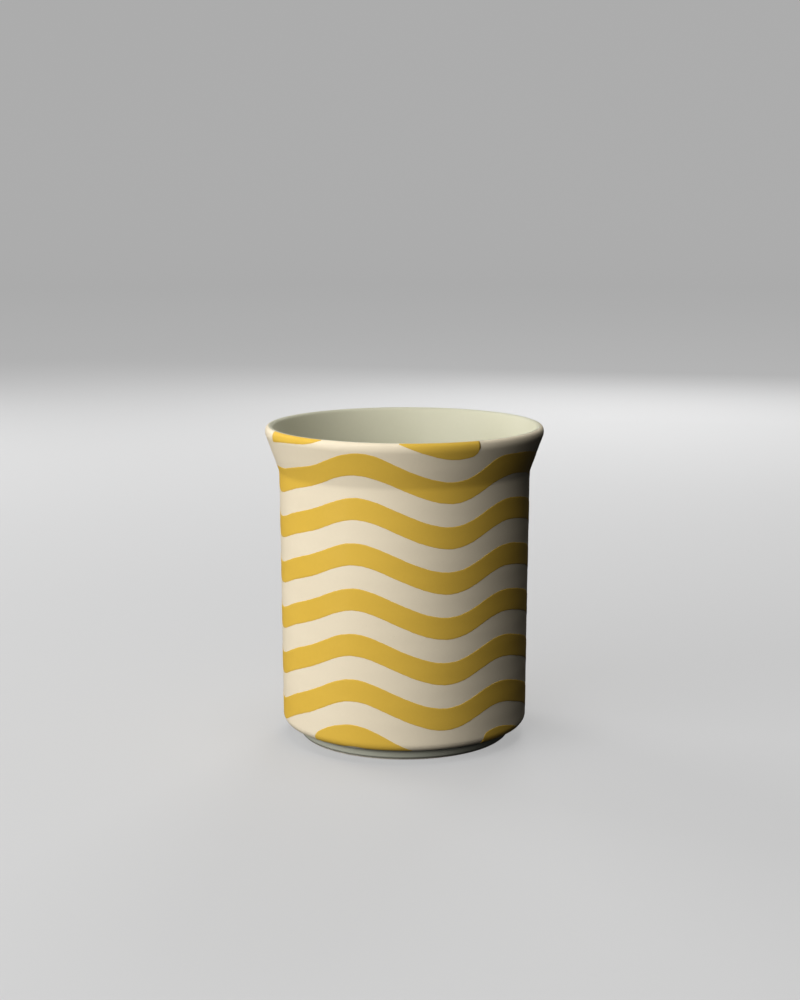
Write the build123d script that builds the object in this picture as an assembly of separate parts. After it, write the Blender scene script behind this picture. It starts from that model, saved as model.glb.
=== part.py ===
from build123d import *
from math import cos, pi, sin, tan, radians
import os

# A ceramic mug without a handle: a straight body on a small set-in foot, with a flared rim.
# Millimetres. The origin is the centre of the foot's resting face, +Z runs up the mug's axis,
# and -Y is the front, from which angles are counted towards +X.

# Outline of the finished, glazed mug, as radius from the axis and height
FOOT_RADIUS = 33.3          # foot ring's outer edge where it meets the table
FOOT_TOP_RADIUS = 34.7      # the same face where it meets the body
FOOT_INNER_RADIUS = 28.6    # inner edge of the foot ring at the table
FOOT_INNER_TOP_RADIUS = 27.6
FOOT_HEIGHT = 3.4           # from the table to the underside of the body
BASE_HEIGHT = 3.3           # underside of the floor, inside the foot ring
HEEL_RADIUS = 39.3          # body just above the rounded heel
HEEL_SLOPE = 16.7           # degrees that the heel's underside rises outwards
BODY_RADIUS = 40.0          # body just below the flare
FLARE_START = 86.3
FLARE_ANGLE = 20.0          # degrees from the vertical
LIP_SHOULDER = (44.16, 97.67)   # where the straight flare starts to round over
INNER_RADIUS = 36.4         # bore of the cup
FLOOR_TOP = 8.8

# Roundings
FOOT_EDGE_ROUND = 0.7
FOOT_CORNER_ROUND = 0.4
HEEL_ROUND = 2.6
FLARE_ROUND = 4.5
LIP_SHOULDER_ROUND = 3.5
LIP_SHOULDER_TURN = 35.3    # degrees turned at the shoulder's radius
LIP_EDGE_ROUND = 1.3
INNER_FLARE_ROUND = 9.0
INNER_FLOOR_ROUND = 10.0

# Layers
GLAZE = 0.25                # thickness of every glaze coat
ENAMEL = 0.15               # thickness of the printed yellow bands
DRY_FOOT = 0.6              # bare clay at the bottom of the foot ring

# Joint between the body and the foot ring
SLIP = 0.2                  # bed of slip that holds the foot on
JOINT_HEIGHT = 3.8          # top of the foot ring under the slip
TONGUE_RADIUS = 31.2        # middle of the ring's raised tongue
TONGUE_WIDTH = 2.4
TONGUE_HEIGHT = 1.4

# Where one coat ends and the next begins
COAT_SPLIT_RADIUS = 38.0    # inside the wall: outer coats beyond it, liner within it
LIP_SPLIT_RADIUS = 43.65    # just outside the lip's crest, where cream meets liner
LIP_SPLIT_HEIGHT = 99.4     # in the clay under that place
LIP_MIDDLE_RADIUS = 42.4    # in the clay where the flare ends
FOOT_SPLIT_RADIUS = 31.2    # middle of the foot ring
LINER_SPLIT_HEIGHT = 6.0    # inside the floor

# Wavy bands: the level of each edge, and the wave that every edge follows
BAND_COUNT = 8              # one cut by the lip, six whole ones, one cut by the foot
FIRST_WHOLE_TOP = 92.1      # middle level of the top edge of the first whole band
BAND_PITCH = 13.75
PITCH_GROWTH = 0.066        # added to the pitch with the square of the distance down
BAND_WIDTH = 6.8
WIDTH_GROWTH = 0.055
SIDE_DROOP = 0.83           # how much lower each band hangs at the two sides
BAND_TURN = 0.01            # radians that each band is turned past the one above it
WAVES = (                   # times round the mug, height, turn in radians
    (2, 1.14, 0.028),
    (4, 3.86, 0.460),
    (6, 0.70, 0.169),
    (8, 0.28, 0.164),
    (10, 0.36, -0.198),
)
WAVE_STEPS = 60
LIP_BAND_START = -67.5      # degrees: the lip's band is printed only between these two
LIP_BAND_END = 30.8

# Reach of the construction shapes
FAR = 60.0
TALL = 110.0
AXIS_OVERLAP = 5.0


def glazed_outline():
    """Half section of the finished mug, carried past the axis and GLAZE below the table."""
    heel_height = FOOT_HEIGHT + (HEEL_RADIUS - FOOT_TOP_RADIUS) * tan(radians(HEEL_SLOPE))
    outer = FilletPolyline(
        (-AXIS_OVERLAP, BASE_HEIGHT),
        (FOOT_INNER_TOP_RADIUS, BASE_HEIGHT),
        (FOOT_INNER_RADIUS, -GLAZE),
        (FOOT_RADIUS, -GLAZE),
        (FOOT_TOP_RADIUS, FOOT_HEIGHT),
        (HEEL_RADIUS, heel_height),
        (BODY_RADIUS, FLARE_START),
        LIP_SHOULDER,
        radius=[
            FOOT_CORNER_ROUND, FOOT_EDGE_ROUND, FOOT_EDGE_ROUND,
            FOOT_CORNER_ROUND, HEEL_ROUND, FLARE_ROUND,
        ],
    )
    lip_turn = 180 - LIP_SHOULDER_TURN
    shoulder = JernArc(outer @ 1, outer % 1, LIP_SHOULDER_ROUND, LIP_SHOULDER_TURN)
    lip_edge = JernArc(shoulder @ 1, shoulder % 1, LIP_EDGE_ROUND, lip_turn)
    lip_end = lip_edge @ 1
    inner_flare_start = lip_end.Y - (lip_end.X - INNER_RADIUS) / tan(radians(FLARE_ANGLE))
    inner = FilletPolyline(
        lip_end,
        (INNER_RADIUS, inner_flare_start),
        (INNER_RADIUS, FLOOR_TOP),
        (-AXIS_OVERLAP, FLOOR_TOP),
        radius=[INNER_FLARE_ROUND, INNER_FLOOR_ROUND],
    )
    closing = Line(inner @ 1, outer @ 0)
    return make_face(Wire([*outer.edges(), *shoulder.edges(), *lip_edge.edges(), *inner.edges(),
                           *closing.edges()]))


def zone(*corners):
    """A polygon in the half section, which picks out one layer or one piece."""
    return make_face(Polyline(*corners, close=True))


def block(low_radius, high_radius, low, high):
    """A rectangle in the half section."""
    return zone((low_radius, low), (high_radius, low), (high_radius, high), (low_radius, high))


def turned(section):
    """The solid that the half section sweeps round the mug's axis."""
    return revolve(Plane.XZ * section, Axis.Z)


def outer_coat_zone():
    """Everything outside the middle of the wall, up to just short of the lip's crest."""
    return zone(
        (COAT_SPLIT_RADIUS, -AXIS_OVERLAP),
        (FAR, -AXIS_OVERLAP),
        (FAR, TALL),
        (LIP_SPLIT_RADIUS, TALL),
        (LIP_SPLIT_RADIUS, LIP_SPLIT_HEIGHT),
        (LIP_MIDDLE_RADIUS, LIP_SHOULDER[1]),
        (COAT_SPLIT_RADIUS, FLARE_START - AXIS_OVERLAP),
    )


def liner_zone():
    """Everything above the middle of the floor and inside the outer coat's zone."""
    return zone(
        (0, LINER_SPLIT_HEIGHT),
        (COAT_SPLIT_RADIUS, LINER_SPLIT_HEIGHT),
        (COAT_SPLIT_RADIUS, FLARE_START - AXIS_OVERLAP),
        (LIP_MIDDLE_RADIUS, LIP_SHOULDER[1]),
        (LIP_SPLIT_RADIUS, LIP_SPLIT_HEIGHT),
        (LIP_SPLIT_RADIUS, TALL),
        (0, TALL),
    )


def ring_zone():
    """The foot ring with its tongue."""
    half = TONGUE_WIDTH / 2
    ring = block(0, COAT_SPLIT_RADIUS, -AXIS_OVERLAP, JOINT_HEIGHT)
    tongue = block(TONGUE_RADIUS - half, TONGUE_RADIUS + half, 0, JOINT_HEIGHT + TONGUE_HEIGHT)
    return ring + tongue


def slip_zone():
    """The foot ring's zone grown by the slip's thickness, which leaves the groove above it."""
    half = TONGUE_WIDTH / 2 + SLIP
    bed_top = JOINT_HEIGHT + SLIP
    bed = block(0, COAT_SPLIT_RADIUS, -AXIS_OVERLAP, bed_top)
    groove = block(TONGUE_RADIUS - half, TONGUE_RADIUS + half, 0, bed_top + TONGUE_HEIGHT)
    return bed + groove


def wave_height(angle):
    """Height of every band edge above its middle level, at an angle round the mug."""
    return sum(size * cos(times * (angle + turn)) for times, size, turn in WAVES)


def wavy_ring(radius, level, whole):
    """A closed curve round the mug at one band's level, following the wave."""
    points = []
    for step in range(WAVE_STEPS):
        angle = 2 * pi * step / WAVE_STEPS
        droop = SIDE_DROOP * whole * sin(angle) ** 4
        height = level + wave_height(angle + BAND_TURN * whole) - droop
        points.append(Vector(radius * sin(angle), -radius * cos(angle), height))
    return Edge.make_spline(points, periodic=True)


def wavy_slab(band):
    """The space between the edges of one band, from inside the wall to outside it."""
    whole = band - 1
    top = FIRST_WHOLE_TOP - BAND_PITCH * whole - PITCH_GROWTH * whole * abs(whole)
    width = BAND_WIDTH + WIDTH_GROWTH * whole
    inner = wavy_ring(COAT_SPLIT_RADIUS - AXIS_OVERLAP, top, whole)
    outer = wavy_ring(FAR, top, whole)
    top_face = Face.make_surface_from_curves(inner, outer)
    return Solid.extrude(top_face, Vector(0, 0, -width))


def lip_band_sector():
    """The wedge round the axis in which the lip's band is printed."""
    rim = CenterArc((0, 0), FAR, LIP_BAND_START - 90, LIP_BAND_END - LIP_BAND_START)
    sides = Polyline(rim @ 1, (0, 0), rim @ 0)
    return extrude(make_face(Wire([*rim.edges(), *sides.edges()])), amount=TALL)


glazed = glazed_outline()
clay = offset(glazed, -GLAZE)
coats = glazed - clay
half_clay = clay & block(0, FAR, -AXIS_OVERLAP, TALL)
foot_coat_zone = block(FOOT_SPLIT_RADIUS, COAT_SPLIT_RADIUS, DRY_FOOT, LINER_SPLIT_HEIGHT)
base_coat_zone = block(0, FOOT_SPLIT_RADIUS, DRY_FOOT, LINER_SPLIT_HEIGHT)

parts = {
    "clay_body": turned(half_clay - slip_zone()),
    "foot_ring": turned(half_clay & ring_zone()),
    "slip_seam": turned(half_clay & (slip_zone() - ring_zone())),
    "liner_glaze": turned(coats & liner_zone()),
    "cream_coat": turned(coats & outer_coat_zone()),
    "foot_glaze": turned(coats & foot_coat_zone),
    "base_glaze": turned(coats & base_coat_zone),
}

printed = offset(glazed, ENAMEL) - glazed
print_skin = turned(printed & outer_coat_zone())
for band in range(BAND_COUNT):
    parts[f"yellow_wave_{band + 1}"] = print_skin & wavy_slab(band)
parts["yellow_wave_1"] = parts["yellow_wave_1"] & lip_band_sector()

os.makedirs("parts", exist_ok=True)
for name, shape in parts.items():
    export_step(shape, f"parts/{name}.step")
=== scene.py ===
import math

import bmesh
import bpy
import numpy as np
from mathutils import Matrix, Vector


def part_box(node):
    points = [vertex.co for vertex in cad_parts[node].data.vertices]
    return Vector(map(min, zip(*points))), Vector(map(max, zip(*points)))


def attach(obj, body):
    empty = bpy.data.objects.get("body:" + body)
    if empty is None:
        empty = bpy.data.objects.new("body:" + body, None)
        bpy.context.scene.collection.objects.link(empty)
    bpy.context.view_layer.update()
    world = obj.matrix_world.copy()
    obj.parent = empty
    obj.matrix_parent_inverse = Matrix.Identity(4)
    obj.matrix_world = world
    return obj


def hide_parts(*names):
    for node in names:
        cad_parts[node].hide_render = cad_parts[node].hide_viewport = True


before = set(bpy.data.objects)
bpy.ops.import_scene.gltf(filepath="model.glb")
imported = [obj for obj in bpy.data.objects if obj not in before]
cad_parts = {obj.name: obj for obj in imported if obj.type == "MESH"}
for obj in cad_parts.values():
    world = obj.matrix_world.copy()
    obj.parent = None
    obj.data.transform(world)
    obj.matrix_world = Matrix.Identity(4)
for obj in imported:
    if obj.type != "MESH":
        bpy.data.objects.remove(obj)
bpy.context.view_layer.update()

# A handle-less ceramic mug. Metres, +Z up, the foot stands on z = 0 and -Y is the front.
# Angles round the mug are counted from the front towards +X, heights from the table.

MM = 0.001
FULL_TURN = 2 * math.pi

# ---------------------------------------------------------------- the outline
FOOT_RADIUS = 33.3 * MM             # foot ring's outer edge where it meets the table
FOOT_TOP_RADIUS = 34.7 * MM         # the same face where it meets the body
FOOT_INNER_RADIUS = 28.6 * MM       # inner edge of the foot ring at the table
FOOT_INNER_TOP_RADIUS = 27.6 * MM
FOOT_HEIGHT = 3.4 * MM              # from the table to the underside of the body
BASE_HEIGHT = 3.3 * MM              # underside of the floor, inside the foot ring
HEEL_RADIUS = 39.3 * MM             # body just above the rounded heel
HEEL_SLOPE = math.radians(16.7)     # rise of the heel's underside
BODY_RADIUS = 40.0 * MM             # body just below the flare
FLARE_START = 86.3 * MM
FLARE_ANGLE = math.radians(20.0)    # from the vertical
LIP_SHOULDER = Vector((44.16 * MM, 97.67 * MM))     # where the flare starts to round over
INNER_RADIUS = 36.4 * MM            # bore of the cup
FLOOR_TOP = 8.8 * MM

FOOT_CORNER_ROUND = 0.4 * MM
HEEL_ROUND = 2.6 * MM
FLARE_ROUND = 4.5 * MM
LIP_SHOULDER_ROUND = 3.5 * MM
LIP_SHOULDER_TURN = math.radians(35.3)
LIP_EDGE_ROUND = 1.3 * MM
INNER_FLARE_ROUND = 9.0 * MM
INNER_FLOOR_ROUND = 10.0 * MM

# ---------------------------------------------------------------- the coats
GLAZE = 0.25 * MM
COAT_SPLIT_RADIUS = 38.0 * MM       # on the heel's underside, cream above and pale green below
LIP_SPLIT_BEFORE_CREST = math.radians(15.0)     # cream outside it, pale green from there inwards
DRY_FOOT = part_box("foot_glaze")[0].z

# How far a hand-finished wall strays from a perfect turned shape
OUT_OF_ROUND = 0.04 * MM            # at OUT_OF_ROUND_HEIGHT, and less below it
OUT_OF_ROUND_HEIGHT = 100 * MM
OUT_OF_ROUND_TURN = 0.7             # radians
RING_DEPTH = 0.012 * MM             # the potter's soft rings
RING_RISE = 0.9 * MM                # height for each radian of their wave
RING_SLANT = 0.5                    # radians that the wave is shifted by from side to side
SWELL_DEPTH = 0.03 * MM             # the wall's slow swelling
SWELL_RISE = 11 * MM                # height for each radian of its wave
SWELL_SLANT = 1.3                   # radians, as above
SWELL_TURN = 1.0                    # radians
AXIS_CALM = 20 * MM                 # the surface grows even towards the axis from this radius

# ---------------------------------------------------------------- the wavy bands
WHOLE_BANDS = 6                     # with one more cut off by the lip and one by the foot
FIRST_WHOLE_TOP = 92.1 * MM         # middle level of the first whole band's top edge
BAND_PITCH = 13.75 * MM
PITCH_GROWTH = 0.066 * MM           # added to the pitch with the square of the distance down
BAND_WIDTH = 6.8 * MM
WIDTH_GROWTH = 0.055 * MM
SIDE_DROOP = 0.83 * MM              # how much further each band droops at the sides than the last
SIDE_DROOP_POWER = 4                # keeps the droop close to the sides
BAND_TURN = 0.01                    # radians that each band is turned past the one above it
WAVES = (                           # times round the mug, height, turn in radians
    (2, 1.14 * MM, 0.028),
    (4, 3.86 * MM, 0.460),
    (6, 0.70 * MM, 0.169),
    (8, 0.28 * MM, 0.164),
    (10, 0.36 * MM, -0.198),
)

# Degrees between which the band cut by the lip and the band cut by the foot are printed
LIP_SECTORS = ((-67.5, 30.8),)
FOOT_FRONT_SECTORS = ((-46.3, 20), (38.2, 90))
FOOT_BACK_SECTORS = tuple((start + 180, end + 180) for start, end in FOOT_FRONT_SECTORS)
FOOT_SECTORS = FOOT_FRONT_SECTORS + FOOT_BACK_SECTORS
CUT_CORNER = 2.2 * MM               # rounding of a cut band's corner at its blunt end

# The lower edge of the lip band's left patch is flatter than the wave: it lies above the wave
# to the left of the patch's middle and below it to the right
LEFT_PATCH_END = -20.0              # degrees
LEFT_PATCH_MIDDLE = -52.5           # degrees
LEFT_PATCH_TILT = 0.1 * MM          # for each degree
LEFT_PATCH_LEAST = -1.25 * MM

# Where a band's top edge strays from the wave: degrees, height, width in degrees
FLARE_BUMPS = (                     # the first whole band, on the flare
    (-75, 1.4 * MM, 9),
    (-39, -0.7 * MM, 12),
    (-13, 0.85 * MM, 9),
    (41, 1.85 * MM, 8),
)
HEEL_BUMPS = (                      # the foot's band, on the heel
    (-39, 0.55 * MM, 7),
    (3, -1.0 * MM, 14),
)

# The print's thickness and the slight wander of its edges
PRINT_RAISE = 0.06 * MM             # above the cream
PRINT_SINK = 0.04 * MM              # into the cream
PRINT_BEVEL = 0.25 * MM             # width of its rounded edge
PRINT_EDGE_WANDER = 0.05 * MM
WANDER_TIMES = (9, 17, 29, 43, 71, 113)     # times round the mug that each of its waves goes
WANDER_SHARE = 3                    # and PRINT_EDGE_WANDER divided by this is each one's height
PRINT_SEED = 20

# ---------------------------------------------------------------- mesh fineness
AROUND = 480                        # steps round the mug
STEP = 0.8 * MM                     # longest step along the outline
ARC_STEP = math.radians(5.0)
LEAST_ARC_STEPS = 2
PRINT_ROWS = 22                     # rows of points across a print
PRINT_LEAST = 0.15 * MM             # a narrower sliver of print isn't made
PRINT_LEAST_STEPS = 3               # and neither is a stretch with no more steps round than this
SAME_PLACE = 1e-7                   # points of the outline nearer than this are one
AXIS_REACH = 1e-6                   # points of a mesh this near the axis lie on it
STATION_DECIMALS = 9                # decimals that tell two stations along the outline apart


def turned_left(direction):
    """The direction a quarter turn to the left."""
    return Vector((-direction.y, direction.x))


def heading(angle):
    """The direction at an angle."""
    return Vector((math.cos(angle), math.sin(angle)))


def arc(start, direction, radius, turn):
    """Points of a left-hand arc that leaves start along direction, and the direction at its end."""
    centre = start + turned_left(direction) * radius
    first = math.atan2(direction.y, direction.x)
    steps = max(LEAST_ARC_STEPS, math.ceil(turn / ARC_STEP))
    points = []
    for step in range(1, steps + 1):
        angle = first + turn * step / steps
        points.append(centre - turned_left(heading(angle)) * radius)
    return points, heading(first + turn)


def rounded(corners, radii):
    """Straight runs through the corners, each inner corner rounded to its radius."""
    points = [corners[0]]
    for before, corner, after, radius in zip(corners, corners[1:], corners[2:], radii):
        back = (before - corner).normalized()
        ahead = (after - corner).normalized()
        half = back.angle(ahead) / 2
        centre = corner + (back + ahead).normalized() * (radius / math.sin(half))
        spoke = corner + back * (radius / math.tan(half)) - centre
        first = math.atan2(spoke.y, spoke.x)
        turn = math.copysign(math.pi - 2 * half, -back.cross(ahead))
        steps = max(LEAST_ARC_STEPS, math.ceil(abs(turn) / ARC_STEP))
        for step in range(steps + 1):
            points.append(centre + heading(first + turn * step / steps) * radius)
    points.append(corners[-1])
    return points


def lip_points():
    """The lip's rounding: up to where cream ends, and from there to its inner edge."""
    flare = heading(math.pi / 2 - FLARE_ANGLE)
    shoulder, direction = arc(LIP_SHOULDER, flare, LIP_SHOULDER_ROUND, LIP_SHOULDER_TURN)
    to_crest = math.pi / 2 + FLARE_ANGLE - LIP_SHOULDER_TURN
    to_split = to_crest - LIP_SPLIT_BEFORE_CREST
    outer, direction = arc(shoulder[-1], direction, LIP_EDGE_ROUND, to_split)
    past_split = math.pi / 2 - FLARE_ANGLE + LIP_SPLIT_BEFORE_CREST
    inner, _ = arc(outer[-1], direction, LIP_EDGE_ROUND, past_split)
    return shoulder + outer, inner


def foot_face(bottom_radius, top_radius, top, height):
    """A point on a sloping face of the foot ring, at a height."""
    share = (height + GLAZE) / (top + GLAZE)
    return Vector((bottom_radius + (top_radius - bottom_radius) * share, height))


def outside_path():
    """The mug's outside, from the dry foot up to where the lip's cream ends."""
    heel_height = FOOT_HEIGHT + (HEEL_RADIUS - FOOT_TOP_RADIUS) * math.tan(HEEL_SLOPE)
    wall = rounded(
        [
            foot_face(FOOT_RADIUS, FOOT_TOP_RADIUS, FOOT_HEIGHT, DRY_FOOT),
            Vector((FOOT_TOP_RADIUS, FOOT_HEIGHT)),
            Vector((HEEL_RADIUS, heel_height)),
            Vector((BODY_RADIUS, FLARE_START)),
            LIP_SHOULDER,
        ],
        [FOOT_CORNER_ROUND, HEEL_ROUND, FLARE_ROUND],
    )
    outer, _ = lip_points()
    return wall + outer


def split_outside():
    """The outside cut on the heel, into the pale green part below and the cream part above."""
    points = outside_path()
    number = next(i for i, point in enumerate(points) if point.x > COAT_SPLIT_RADIUS)
    before, after = points[number - 1], points[number]
    cut = before.lerp(after, (COAT_SPLIT_RADIUS - before.x) / (after.x - before.x))
    return points[:number] + [cut], [cut] + points[number:]


def liner_path():
    """Inside of the mug, from the lip down to the middle of the floor."""
    outer, inner = lip_points()
    lip_end = inner[-1]
    drop = (lip_end.x - INNER_RADIUS) / math.tan(FLARE_ANGLE)
    wall = rounded(
        [
            lip_end,
            Vector((INNER_RADIUS, lip_end.y - drop)),
            Vector((INNER_RADIUS, FLOOR_TOP)),
            Vector((0, FLOOR_TOP)),
        ],
        [INNER_FLARE_ROUND, INNER_FLOOR_ROUND],
    )
    return [outer[-1]] + inner + wall[1:]


def base_coat_path():
    """The underside inside the foot ring, from its middle out and down to the dry foot."""
    return rounded(
        [
            Vector((0, BASE_HEIGHT)),
            Vector((FOOT_INNER_TOP_RADIUS, BASE_HEIGHT)),
            foot_face(FOOT_INNER_RADIUS, FOOT_INNER_TOP_RADIUS, BASE_HEIGHT, DRY_FOOT),
        ],
        [FOOT_CORNER_ROUND],
    )


LIP_TOP = max(point.y for point in outside_path())


def run_lengths(rows):
    """Distance from each point to the next."""
    return np.hypot(*np.diff(rows, axis=0).T)


class Surface:
    """A stretch of the outline, known by the distance along it, with the clay on its left."""

    def __init__(self, points):
        rows = np.array([tuple(point) for point in points])
        self.rows = rows[np.r_[True, run_lengths(rows) > SAME_PLACE]]
        self.along = np.r_[0.0, np.cumsum(run_lengths(self.rows))]
        self.length = self.along[-1]
        slopes = np.gradient(self.rows, self.along, axis=0)
        normals = np.stack([slopes[:, 1], -slopes[:, 0]], axis=1)
        self.normals = normals / np.hypot(*normals.T)[:, None]

    def at(self, distance):
        """Radius and height at each distance along."""
        radius = np.interp(distance, self.along, self.rows[:, 0])
        height = np.interp(distance, self.along, self.rows[:, 1])
        return radius, height

    def facing(self, distance):
        """The two parts of the outward normal at each distance along."""
        out = np.interp(distance, self.along, self.normals[:, 0])
        up = np.interp(distance, self.along, self.normals[:, 1])
        size = np.hypot(out, up)
        return out / size, up / size

    def at_height(self, height):
        """Distance along where the surface first reaches each height."""
        crest = int(np.argmax(self.rows[:, 1]))
        return np.interp(
            height,
            self.rows[: crest + 1, 1],
            self.along[: crest + 1],
            left=0.0,
            right=self.length,
        )

    def stations(self):
        """Distances along, close together, that keep every point of the outline."""
        distances = []
        for low, high in zip(self.along, self.along[1:]):
            steps = max(1, math.ceil((high - low) / STEP))
            distances.extend(np.linspace(low, high, steps + 1))
        return np.unique(np.round(distances, STATION_DECIMALS))


def unevenness(height, angle):
    """How far the wall stands out from a perfect turned shape."""
    oval = np.cos(2 * angle + OUT_OF_ROUND_TURN) * (height / OUT_OF_ROUND_HEIGHT)
    rings = np.sin(height / RING_RISE + RING_SLANT * np.sin(angle))
    swell = np.sin(height / SWELL_RISE + SWELL_SLANT * np.sin(angle + SWELL_TURN))
    return OUT_OF_ROUND * oval + RING_DEPTH * rings + SWELL_DEPTH * swell


def new_piece(name, points, faces):
    """A smooth-shaded object with its faces turned outwards, joined up where it meets the axis."""
    mesh = bpy.data.meshes.new(name)
    mesh.from_pydata(points.tolist(), [], faces)
    work = bmesh.new()
    work.from_mesh(mesh)
    on_axis = [corner for corner in work.verts if corner.co.xy.length < AXIS_REACH]
    bmesh.ops.remove_doubles(work, verts=on_axis, dist=AXIS_REACH)
    loose = [edge for edge in work.edges if not edge.link_faces]
    bmesh.ops.delete(work, geom=loose, context="EDGES")
    bmesh.ops.recalc_face_normals(work, faces=work.faces)
    work.to_mesh(mesh)
    work.free()
    mesh.polygons.foreach_set("use_smooth", [True] * len(mesh.polygons))
    piece = bpy.data.objects.new(name, mesh)
    bpy.context.scene.collection.objects.link(piece)
    return piece


def grid_faces(rows, columns, rows_close, columns_close):
    """Quads between neighbouring rows and columns, which close on themselves where asked."""
    faces = []
    for row in range(rows if rows_close else rows - 1):
        above = (row + 1) % rows
        for column in range(columns if columns_close else columns - 1):
            beside = (column + 1) % columns
            faces.append(
                (
                    row * columns + column,
                    row * columns + beside,
                    above * columns + beside,
                    above * columns + column,
                )
            )
    return faces


def round_points(radius, height, angles):
    """A point for each radius, height and angle round the axis, with the front at angle 0."""
    places = np.broadcast_arrays(radius * np.sin(angles), -radius * np.cos(angles), height)
    return np.stack(places, axis=-1)


def layer(surface, along, angles, lift):
    """Points at each distance along and angle round, standing lift above the surface."""
    radius, height = surface.at(along)
    out, up = surface.facing(along)
    return round_points(np.maximum(radius + out * lift, 0.0), height + up * lift, angles)


def coat(name, surface):
    """A thin closed coat turned round the axis, with a second face GLAZE behind the first."""
    angles = np.arange(AROUND)[None, :] * (FULL_TURN / AROUND)
    front = surface.stations()[:, None]
    back = front[::-1]
    radius, height = surface.at(front)
    calm = np.clip(radius / AXIS_CALM, 0, 1)
    outside = layer(surface, front, angles, unevenness(height, angles) * calm)
    inside = layer(surface, back, angles, -GLAZE)
    points = np.concatenate([outside, inside])
    return new_piece(name, points.reshape(-1, 3), grid_faces(len(points), AROUND, True, True))


def wave_height(angle):
    """Height of every band edge above its middle level, at an angle round the mug."""
    return sum(size * np.cos(times * (angle + turn)) for times, size, turn in WAVES)


def band_edges(whole, angle):
    """Top and bottom height of a band, 0 for the first whole one, -1 for the one above it."""
    droop = SIDE_DROOP * whole * np.sin(angle) ** SIDE_DROOP_POWER
    level = FIRST_WHOLE_TOP - BAND_PITCH * whole - PITCH_GROWTH * whole * abs(whole)
    top = level + wave_height(angle + BAND_TURN * whole) - droop
    return top, top - BAND_WIDTH - WIDTH_GROWTH * whole


def edge_wander(angle, seed):
    """The slight wander of a printed edge, the same all the way round where it closes."""
    random = np.random.default_rng(seed)
    total = 0
    for times in WANDER_TIMES:
        total = total + np.sin(times * angle + random.uniform(0, FULL_TURN)) / WANDER_SHARE
    return PRINT_EDGE_WANDER * total


def corner_pull(degrees_from_ends):
    """How far an edge is pulled in where the corner at a blunt end is rounded."""
    pull = 0
    for degrees in degrees_from_ends:
        distance = np.radians(degrees % 360) * BODY_RADIUS
        into_corner = np.clip(CUT_CORNER - distance, 0.0, CUT_CORNER)
        pull = pull + CUT_CORNER - np.sqrt(CUT_CORNER**2 - into_corner**2)
    return pull


def signed(degrees):
    """The same angle, between -180 and 180 degrees."""
    return (degrees + 180) % 360 - 180


def strayed(degrees, bumps):
    """How far a band's top edge lies above the wave."""
    total = 0
    for middle, size, width in bumps:
        total = total + size * np.exp(-(signed(degrees - middle) / width) ** 2)
    return total


def left_patch_lift(degrees):
    """How far the lower edge of the lip band's left patch lies above the wave."""
    degrees = signed(degrees)
    tilt = (LEFT_PATCH_MIDDLE - degrees) * LEFT_PATCH_TILT
    return np.where(degrees < LEFT_PATCH_END, np.maximum(tilt, LEFT_PATCH_LEAST), 0)


def band_reach(surface, whole, angles):
    """Where a band starts and ends along the surface, at each angle."""
    top, bottom = band_edges(whole, angles)
    degrees = np.degrees(angles)
    if whole < 0:
        bottom = bottom + left_patch_lift(degrees)
        bottom = bottom + corner_pull([end - degrees for _, end in LIP_SECTORS])
    if whole == 0:
        top = top + strayed(degrees, FLARE_BUMPS)
    if whole == WHOLE_BANDS:
        top = top + strayed(degrees, HEEL_BUMPS)
        top = top - corner_pull([degrees - start for start, _ in FOOT_SECTORS])
    seed = PRINT_SEED + 2 * whole
    high = surface.at_height(top) + edge_wander(angles, seed)
    low = surface.at_height(bottom) + edge_wander(angles, seed + 1)
    high = np.where(top < LIP_TOP, high, surface.length)
    return np.clip(low, 0.0, surface.length), np.clip(high, 0.0, surface.length)


def printed_runs(surface, whole, sectors):
    """The stretches of angle in which a band shows, and whether it goes all the way round."""
    steps = np.arange(AROUND)
    angles = steps * (FULL_TURN / AROUND)
    low, high = band_reach(surface, whole, angles)
    shown = high - low > PRINT_LEAST
    if sectors:
        degrees = np.degrees(angles)
        inside = [(degrees - start) % 360 <= end - start for start, end in sectors]
        shown &= np.any(inside, axis=0)
    if shown.all():
        return [angles], True
    first_gap = int(np.argmin(shown))
    runs = []
    for step in np.roll(steps, -first_gap):
        if shown[step]:
            runs[-1].append(step)
        else:
            runs.append([])
    return [np.unwrap(angles[run]) for run in runs if len(run) > PRINT_LEAST_STEPS], False


def print_stretch(surface, whole, angles, closed):
    """One stretch of yellow print, standing a hair above the cream with rounded edges.

    Its rows of points lie closer together towards its two edges.
    """
    low, high = band_reach(surface, whole, angles)
    share = 0.5 - 0.5 * np.cos(math.pi * np.linspace(0, 1, PRINT_ROWS))[:, None]
    along = low + (high - low) * share
    from_edge = np.minimum(along - low, high - along)
    stand = PRINT_RAISE * np.sqrt(np.clip(from_edge / PRINT_BEVEL, 0, 1))
    angles = angles[None, :]
    base = unevenness(surface.at(along)[1], angles)
    outside = layer(surface, along, angles, base + stand)
    inside = layer(surface, along[::-1], angles, base[::-1] - PRINT_SINK)
    points = np.concatenate([outside, inside])
    rows, columns = points.shape[:2]
    faces = grid_faces(rows, columns, True, closed)
    if not closed:
        faces.append([row * columns for row in range(rows)])
        faces.append([row * columns + columns - 1 for row in reversed(range(rows))])
    return points.reshape(-1, 3), faces


def band(name, surface, whole, sectors):
    """All the stretches of one band as one piece."""
    runs, closed = printed_runs(surface, whole, sectors)
    all_points = []
    all_faces = []
    count = 0
    for angles in runs:
        points, faces = print_stretch(surface, whole, angles, closed)
        all_points.append(points)
        all_faces.extend([[corner + count for corner in face] for face in faces])
        count += len(points)
    return new_piece(name, np.concatenate(all_points), all_faces)


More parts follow.
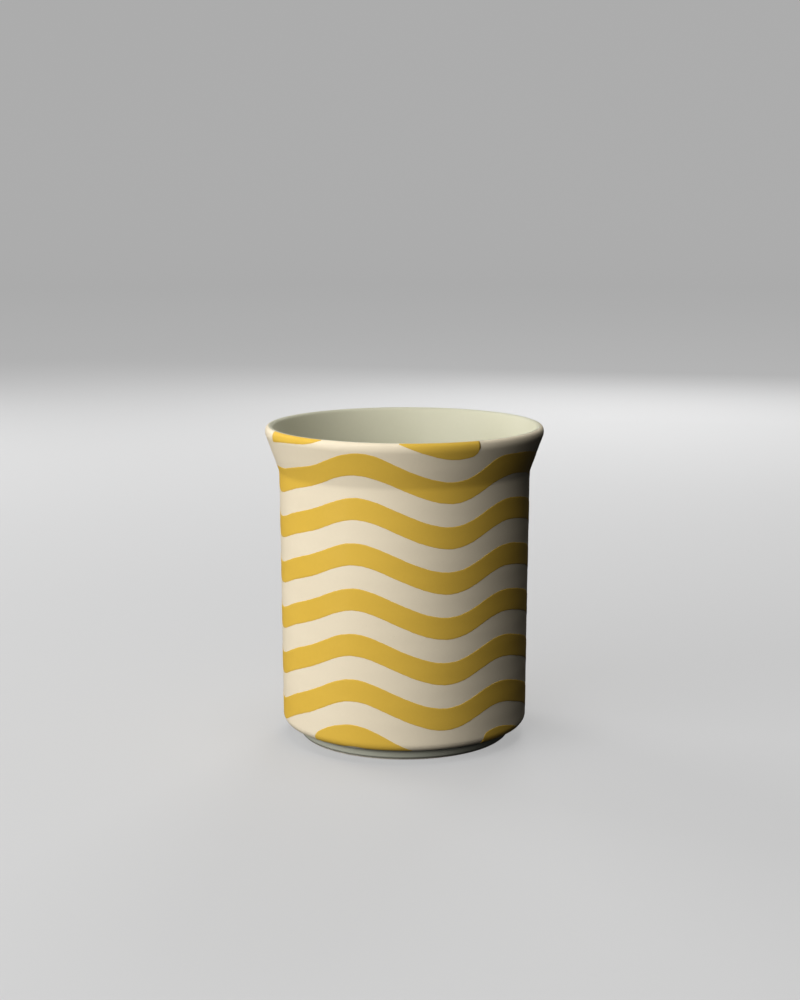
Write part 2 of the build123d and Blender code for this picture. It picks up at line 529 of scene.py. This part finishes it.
# ---------------------------------------------------------------- materials
# Noise: how many lumps to a metre, and how many finer layers lie on them
DRIFT_NOISE = (28.0, 3.0)           # slow drift of a glaze's colour
MOTTLE_NOISE = (900.0, 2.0)         # fine mottle
GLOSS_NOISE = (60.0, 4.0)           # where a glaze is more and less worn
PEEL_NOISE = (260.0, 2.0)           # dimples like an orange's peel
GRIT_NOISE = (700.0, 5.0)           # grit of the bare clay
CLOUD_NOISE = (2.0, 2.0)            # drift of the backdrop's grey

GLAZE_IOR = 1.5
GLAZE_SPECULAR = 0.35
GLAZE_COAT = 0.06
GLAZE_COAT_ROUGHNESS = 0.1
DEEP_UNTIL = 0.3                    # the deeper colour up to this share of the noise
PLAIN_FROM = 0.62                   # and the plain colour from this one
GLOSSIEST = 0.88                    # share of the glaze's roughness where it is smoothest
DULLEST = 1.15                      # and where it is most worn
SPECKS_PER_METRE = 160.0
SPECK_CORE = 0.02                   # radius of a speck's solid middle, as a share of their spacing
SPECK_RIM = 0.05                    # and the radius at which it has faded away
SPECK_COLOUR = (0.25, 0.17, 0.09)
PEEL_STRENGTH = 0.12
PEEL_DEPTH = 0.2 * MM

JOINT_SHADE = 0.7                   # share of painted shade in the foot's corner, where the heel overhangs it
JOINT_SHADE_REACH = 1.3 * MM        # height over which it fades away
# colour of the painted shade in the foot's corner
JOINT_SHADE_COLOUR = (0.1, 0.085, 0.06)

CLAY_ROUGHNESS = 0.85
CLAY_DARKEST = 0.72                 # share of the clay's colour in its darkest grit
CLAY_PLAIN_FROM = 0.6               # share of the noise from which the clay has its own colour
GRIT_STRENGTH = 0.5
GRIT_DEPTH = 0.1 * MM

BACKDROP_ROUGHNESS = 0.8
BACKDROP_GLOW = 0.38
BACKDROP_DARKER = (0.19, 0.19, 0.192)
BACKDROP_LIGHTER = (0.21, 0.21, 0.21)


def new_material(name):
    """A new material and its tree of nodes."""
    material = bpy.data.materials.new(name)
    material.use_nodes = True
    return material, material.node_tree


def main_shader(tree):
    """The shader that gives the surface its colour and gloss."""
    return tree.nodes["Principled BSDF"]


def object_place(tree):
    """The place on the object, which every pattern is fixed to."""
    return tree.nodes.new("ShaderNodeTexCoord").outputs["Object"]


def noise(tree, scale, detail):
    """A noise between 0 and 1."""
    texture = tree.nodes.new("ShaderNodeTexNoise")
    texture.inputs["Scale"].default_value = scale
    texture.inputs["Detail"].default_value = detail
    tree.links.new(object_place(tree), texture.inputs["Vector"])
    return texture.outputs["Fac"]


def ranged(tree, value, to_range, from_range=(0.0, 1.0), interpolation="LINEAR"):
    """A value moved into a range, and held at its ends."""
    node = tree.nodes.new("ShaderNodeMapRange")
    node.interpolation_type = interpolation
    node.inputs["From Min"].default_value, node.inputs["From Max"].default_value = from_range
    node.inputs["To Min"].default_value, node.inputs["To Max"].default_value = to_range
    tree.links.new(value, node.inputs["Value"])
    return node.outputs["Result"]


def toned(tree, value, darker, lighter, darker_until=0.0, lighter_from=1.0):
    """A colour between two, by a value."""
    node = tree.nodes.new("ShaderNodeValToRGB")
    first, last = node.color_ramp.elements
    first.position = darker_until
    first.color = (*darker, 1)
    last.position = lighter_from
    last.color = (*lighter, 1)
    tree.links.new(value, node.inputs["Fac"])
    return node.outputs["Color"]


def mixed_in(tree, share, plain, colour):
    """A plain colour with a share of another one mixed in."""
    node = tree.nodes.new("ShaderNodeMix")
    node.data_type = "RGBA"
    node.inputs["B"].default_value = (*colour, 1)
    tree.links.new(share, node.inputs["Factor"])
    tree.links.new(plain, node.inputs["A"])
    return node.outputs["Result"]


def scaled(tree, colour, factor):
    """A colour made lighter or darker by a factor."""
    node = tree.nodes.new("ShaderNodeVectorMath")
    node.operation = "SCALE"
    tree.links.new(colour, node.inputs[0])
    tree.links.new(factor, node.inputs["Scale"])
    return node.outputs["Vector"]


def bumped(tree, height, strength, depth):
    """The surface's normal over dimples of a height."""
    node = tree.nodes.new("ShaderNodeBump")
    node.inputs["Strength"].default_value = strength
    node.inputs["Distance"].default_value = depth
    tree.links.new(height, node.inputs["Height"])
    return node.outputs["Normal"]


def distance_from_joint(tree):
    """How far above or below the foot's joint with the body the surface lies."""
    axes = tree.nodes.new("ShaderNodeSeparateXYZ")
    tree.links.new(object_place(tree), axes.inputs["Vector"])
    above = tree.nodes.new("ShaderNodeMath")
    above.operation = "SUBTRACT"
    above.inputs[1].default_value = FOOT_HEIGHT
    tree.links.new(axes.outputs["Z"], above.inputs[0])
    away = tree.nodes.new("ShaderNodeMath")
    away.operation = "ABSOLUTE"
    tree.links.new(above.outputs["Value"], away.inputs[0])
    return away.outputs["Value"]


def glaze_material(name, colour, deep, roughness, grain, specks):
    """A fired glaze: its colour drifts a little and is mottled finely, over a soft dimpled surface."""
    material, tree = new_material(name)
    shader = main_shader(tree)
    shader.inputs["IOR"].default_value = GLAZE_IOR
    shader.inputs["Specular IOR Level"].default_value = GLAZE_SPECULAR
    shader.inputs["Coat Weight"].default_value = GLAZE_COAT
    shader.inputs["Coat Roughness"].default_value = GLAZE_COAT_ROUGHNESS

    tone = toned(tree, noise(tree, *DRIFT_NOISE), deep, colour, DEEP_UNTIL, PLAIN_FROM)
    mottle = ranged(tree, noise(tree, *MOTTLE_NOISE), (1.0 - grain, 1.0 + grain))
    cells = tree.nodes.new("ShaderNodeTexVoronoi")
    cells.inputs["Scale"].default_value = SPECKS_PER_METRE
    tree.links.new(object_place(tree), cells.inputs["Vector"])
    rare = ranged(tree, cells.outputs["Distance"], (specks, 0.0), (SPECK_CORE, SPECK_RIM))
    speckled = mixed_in(tree, rare, scaled(tree, tone, mottle), SPECK_COLOUR)
    tree.links.new(speckled, shader.inputs["Base Color"])

    dull_range = (roughness * GLOSSIEST, roughness * DULLEST)
    dullness = ranged(tree, noise(tree, *GLOSS_NOISE), dull_range)
    tree.links.new(dullness, shader.inputs["Roughness"])

    dimples = bumped(tree, noise(tree, *PEEL_NOISE), PEEL_STRENGTH, PEEL_DEPTH)
    tree.links.new(dimples, shader.inputs["Normal"])
    return material


def paint_joint_shade(material):
    """Paints shade into a glaze round the corner where the foot meets the body, under the heel's
    overhang.
    """
    tree = material.node_tree
    colour = main_shader(tree).inputs["Base Color"]
    plain = colour.links[0].from_socket
    share = ranged(
        tree,
        distance_from_joint(tree),
        to_range=(JOINT_SHADE, 0.0),
        from_range=(0.0, JOINT_SHADE_REACH),
        interpolation="SMOOTHSTEP",
    )
    tree.links.new(mixed_in(tree, share, plain, JOINT_SHADE_COLOUR), colour)


def clay_material(name, colour):
    """Bare fired clay: dry, with fine grit."""
    material, tree = new_material(name)
    shader = main_shader(tree)
    shader.inputs["Roughness"].default_value = CLAY_ROUGHNESS
    grit = noise(tree, *GRIT_NOISE)
    darkest = [part * CLAY_DARKEST for part in colour]
    tone = toned(tree, grit, darkest, colour, DEEP_UNTIL, CLAY_PLAIN_FROM)
    tree.links.new(tone, shader.inputs["Base Color"])
    tree.links.new(bumped(tree, grit, GRIT_STRENGTH, GRIT_DEPTH), shader.inputs["Normal"])
    return material


def backdrop_material():
    """A pale grey that glows a little by itself, so that the floor stays pale behind the mug."""
    material, tree = new_material("pale_backdrop")
    shader = main_shader(tree)
    shader.inputs["Roughness"].default_value = BACKDROP_ROUGHNESS
    shader.inputs["Emission Color"].default_value = (1, 1, 1, 1)
    shader.inputs["Emission Strength"].default_value = BACKDROP_GLOW
    tone = toned(tree, noise(tree, *CLOUD_NOISE), BACKDROP_DARKER, BACKDROP_LIGHTER)
    tree.links.new(tone, shader.inputs["Base Color"])
    return material


def finish_piece(piece, material, slot, *nodes):
    """Gives a piece its material and its body, and hides the CAD nodes that it stands for."""
    piece.data.materials.append(material)
    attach(piece, "root")
    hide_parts(*nodes)


cream = glaze_material(
    "cream_glaze",
    colour=(0.80, 0.70, 0.525),
    deep=(0.775, 0.675, 0.502),
    roughness=0.34,
    grain=0.015,
    specks=0.08,
)
yellow = glaze_material(
    "yellow_enamel",
    colour=(0.705, 0.452, 0.065),
    deep=(0.68, 0.432, 0.06),
    roughness=0.36,
    grain=0.02,
    specks=0.06,
)
green = glaze_material(
    "pale_green_glaze",
    colour=(0.57, 0.555, 0.425),
    deep=(0.55, 0.535, 0.407),
    roughness=0.33,
    grain=0.015,
    specks=0.08,
)
foot_green = glaze_material(
    "foot_glaze",
    colour=(0.54, 0.545, 0.44),
    deep=(0.51, 0.51, 0.41),
    roughness=0.34,
    grain=0.02,
    specks=0.1,
)
base_green = foot_green.copy()
# painted shade in the foot glaze's corner under the heel; the underside's copy is taken before it
paint_joint_shade(foot_green)
bare_clay = clay_material("bare_clay", colour=(0.62, 0.56, 0.45))

# ---------------------------------------------------------------- the pieces
foot_side, outside = (Surface(points) for points in split_outside())
inside = Surface(liner_path())
underside = Surface(base_coat_path())

finish_piece(coat("cream_outside", outside), cream, "cream_glaze", "cream_coat")
finish_piece(coat("liner_inside", inside), green, "pale_green_glaze", "liner_glaze")
finish_piece(coat("foot_side_glaze", foot_side), foot_green, "pale_green_glaze", "foot_glaze")
finish_piece(coat("underside_glaze", underside), base_green, "pale_green_glaze", "base_glaze")

CUT_BANDS = {-1: LIP_SECTORS, WHOLE_BANDS: FOOT_SECTORS}
for whole in range(-1, WHOLE_BANDS + 1):
    number = whole + 2
    piece = band(f"yellow_print_{number}", outside, whole, CUT_BANDS.get(whole, ()))
    finish_piece(piece, yellow, "yellow_enamel", f"yellow_wave_{number}")

for node in ("clay_body", "foot_ring", "slip_seam"):
    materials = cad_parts[node].data.materials
    materials.clear()
    materials.append(bare_clay)

# ---------------------------------------------------------------- the room
ROOM_RADIUS = 3.2
ROOM_SWEEP = 0.8                    # radius of the curve from the floor up into the wall
WALL_TOP = 3.5
ROOM_AROUND = 96
SWEEP_STEPS = 16
ROOM_LIGHT = 0.012                  # even light from all sides

LIGHTS = (                          # name, azimuth, elevation, distance, width, height, watts, gleam
    ("key_left", -57.5, 14, 1.0, 0.44, 0.6, 5.85, False),
    ("key_middle", -32.5, 21, 1.0, 0.44, 0.6, 3.7, False),
    ("key_right", -13.0, 33, 1.0, 0.3, 0.6, 1.9, False),
    ("sheen", -70.0, 35, 1.0, 0.6, 0.9, 0.5, True),
    ("left_rear", -132.5, 20, 1.0, 0.44, 0.6, 6.2, False),
    ("right_rear", 168.0, 25, 1.0, 0.35, 0.5, 5.5, False),
    ("top", 0.0, 88, 2.5, 1.2, 1.2, 27.0, False),
)


def backdrop():
    """A round floor that sweeps up into a wall on every side of the mug."""
    profile = [(0.0, 0.0)]
    for step in range(SWEEP_STEPS + 1):
        angle = math.pi / 2 * step / SWEEP_STEPS
        radius = ROOM_RADIUS - ROOM_SWEEP + ROOM_SWEEP * math.sin(angle)
        profile.append((radius, ROOM_SWEEP * (1 - math.cos(angle))))
    profile.append((ROOM_RADIUS, WALL_TOP))
    radii, heights = np.array(profile).T[:, :, None]
    angles = np.arange(ROOM_AROUND)[None, :] * (FULL_TURN / ROOM_AROUND)
    points = round_points(radii, heights, angles)
    faces = grid_faces(len(profile), ROOM_AROUND, False, True)
    room = new_piece("backdrop", points.reshape(-1, 3), faces)
    room.data.materials.append(backdrop_material())
    room.visible_diffuse = False
    room.visible_glossy = False


def soft_light(name, azimuth, elevation, distance, width, height, watts, gleam):
    """An area light that faces the middle of the mug. Without gleam, no glaze mirrors it."""
    data = bpy.data.lights.new(name, "AREA")
    data.shape = "RECTANGLE"
    data.size = width
    data.size_y = height
    data.energy = watts
    light = bpy.data.objects.new(name, data)
    around = math.radians(azimuth)
    above = math.radians(elevation)
    level = math.cos(above)
    out = Vector((math.sin(around) * level, -math.cos(around) * level, math.sin(above)))
    light.location = Vector((0, 0, LIP_TOP / 2)) + out * distance
    light.rotation_euler = (-out).to_track_quat("-Z", "Y").to_euler()
    light.visible_camera = False
    light.visible_glossy = gleam
    bpy.context.scene.collection.objects.link(light)


backdrop()
for light in LIGHTS:
    soft_light(*light)

world = bpy.data.worlds.new("room")
world.use_nodes = True
sky = world.node_tree.nodes["Background"]
sky.inputs["Color"].default_value = (1, 1, 1, 1)
sky.inputs["Strength"].default_value = ROOM_LIGHT
bpy.context.scene.world = world
bpy.context.scene.view_settings.view_transform = "Standard"

# ---------------------------------------------------------------- the camera
CAMERA_PLACE = (-1.45 * MM, -600 * MM, 181.1 * MM)
CAMERA_PITCH = math.radians(9.92)   # below the horizon
CAMERA_LENS = 68.3                  # millimetres
CAMERA_SENSOR = 36.0                # millimetres wide
CAMERA_NEAR = 10 * MM

camera_data = bpy.data.cameras.new("camera")
camera_data.lens = CAMERA_LENS
camera_data.sensor_width = CAMERA_SENSOR
camera_data.clip_start = CAMERA_NEAR
camera = bpy.data.objects.new("camera", camera_data)
camera.location = CAMERA_PLACE
camera.rotation_euler = (math.pi / 2 - CAMERA_PITCH, 0, 0)
bpy.context.scene.collection.objects.link(camera)
bpy.context.scene.camera = camera
